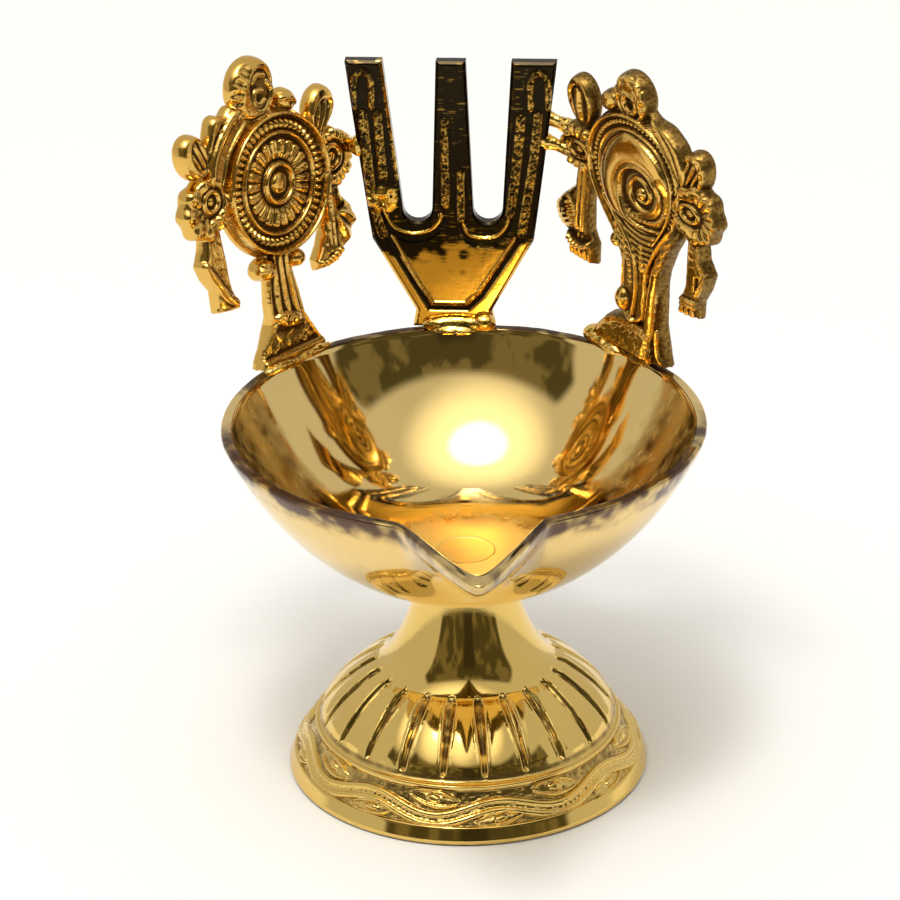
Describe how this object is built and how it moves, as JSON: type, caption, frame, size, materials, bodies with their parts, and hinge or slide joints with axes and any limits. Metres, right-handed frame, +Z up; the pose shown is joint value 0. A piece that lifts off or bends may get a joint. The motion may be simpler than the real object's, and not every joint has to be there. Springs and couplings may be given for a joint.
{
  "type": "standing oil lamp",
  "caption": "Small standing brass oil lamp: spouted bowl on a fluted bell foot, with a disc, a pronged plate and a conch upright on the back of the rim.",
  "frame": {"origin": "on the table, below the middle of the lamp's bounding box", "axes": "+Z up, -Y out of the spout, the three upright emblems stand at the +Y side of the rim"},
  "size_m": [0.0858, 0.1012, 0.1102],
  "materials": {
    "polished_brass": "turned and polished bright, with fine lathe lines",
    "cast_brass": "cast and tumbled, satin, brown in the recesses",
    "filed_brass": "filed flat and polished, dark with fine scratches, ridges left rough",
    "braze_brass": "flowed and left bright",
    "bolt_brass": "plain turned"
  },
  "bodies": {
    "root": {"foot": "polished_brass", "bowl": "polished_brass", "centre_bolt": "bolt_brass", "bolt_washer": "bolt_brass", "bolt_nut": "bolt_brass", "namam_plate": "filed_brass", "chakra_emblem": "cast_brass", "shankha_emblem": "cast_brass", "plate_braze": "braze_brass", "chakra_braze": "braze_brass", "shankha_braze": "braze_brass", "chakra_tie": "braze_brass", "shankha_tie_upper": "braze_brass", "shankha_tie_lower": "braze_brass"}
  },
  "joints": []
}
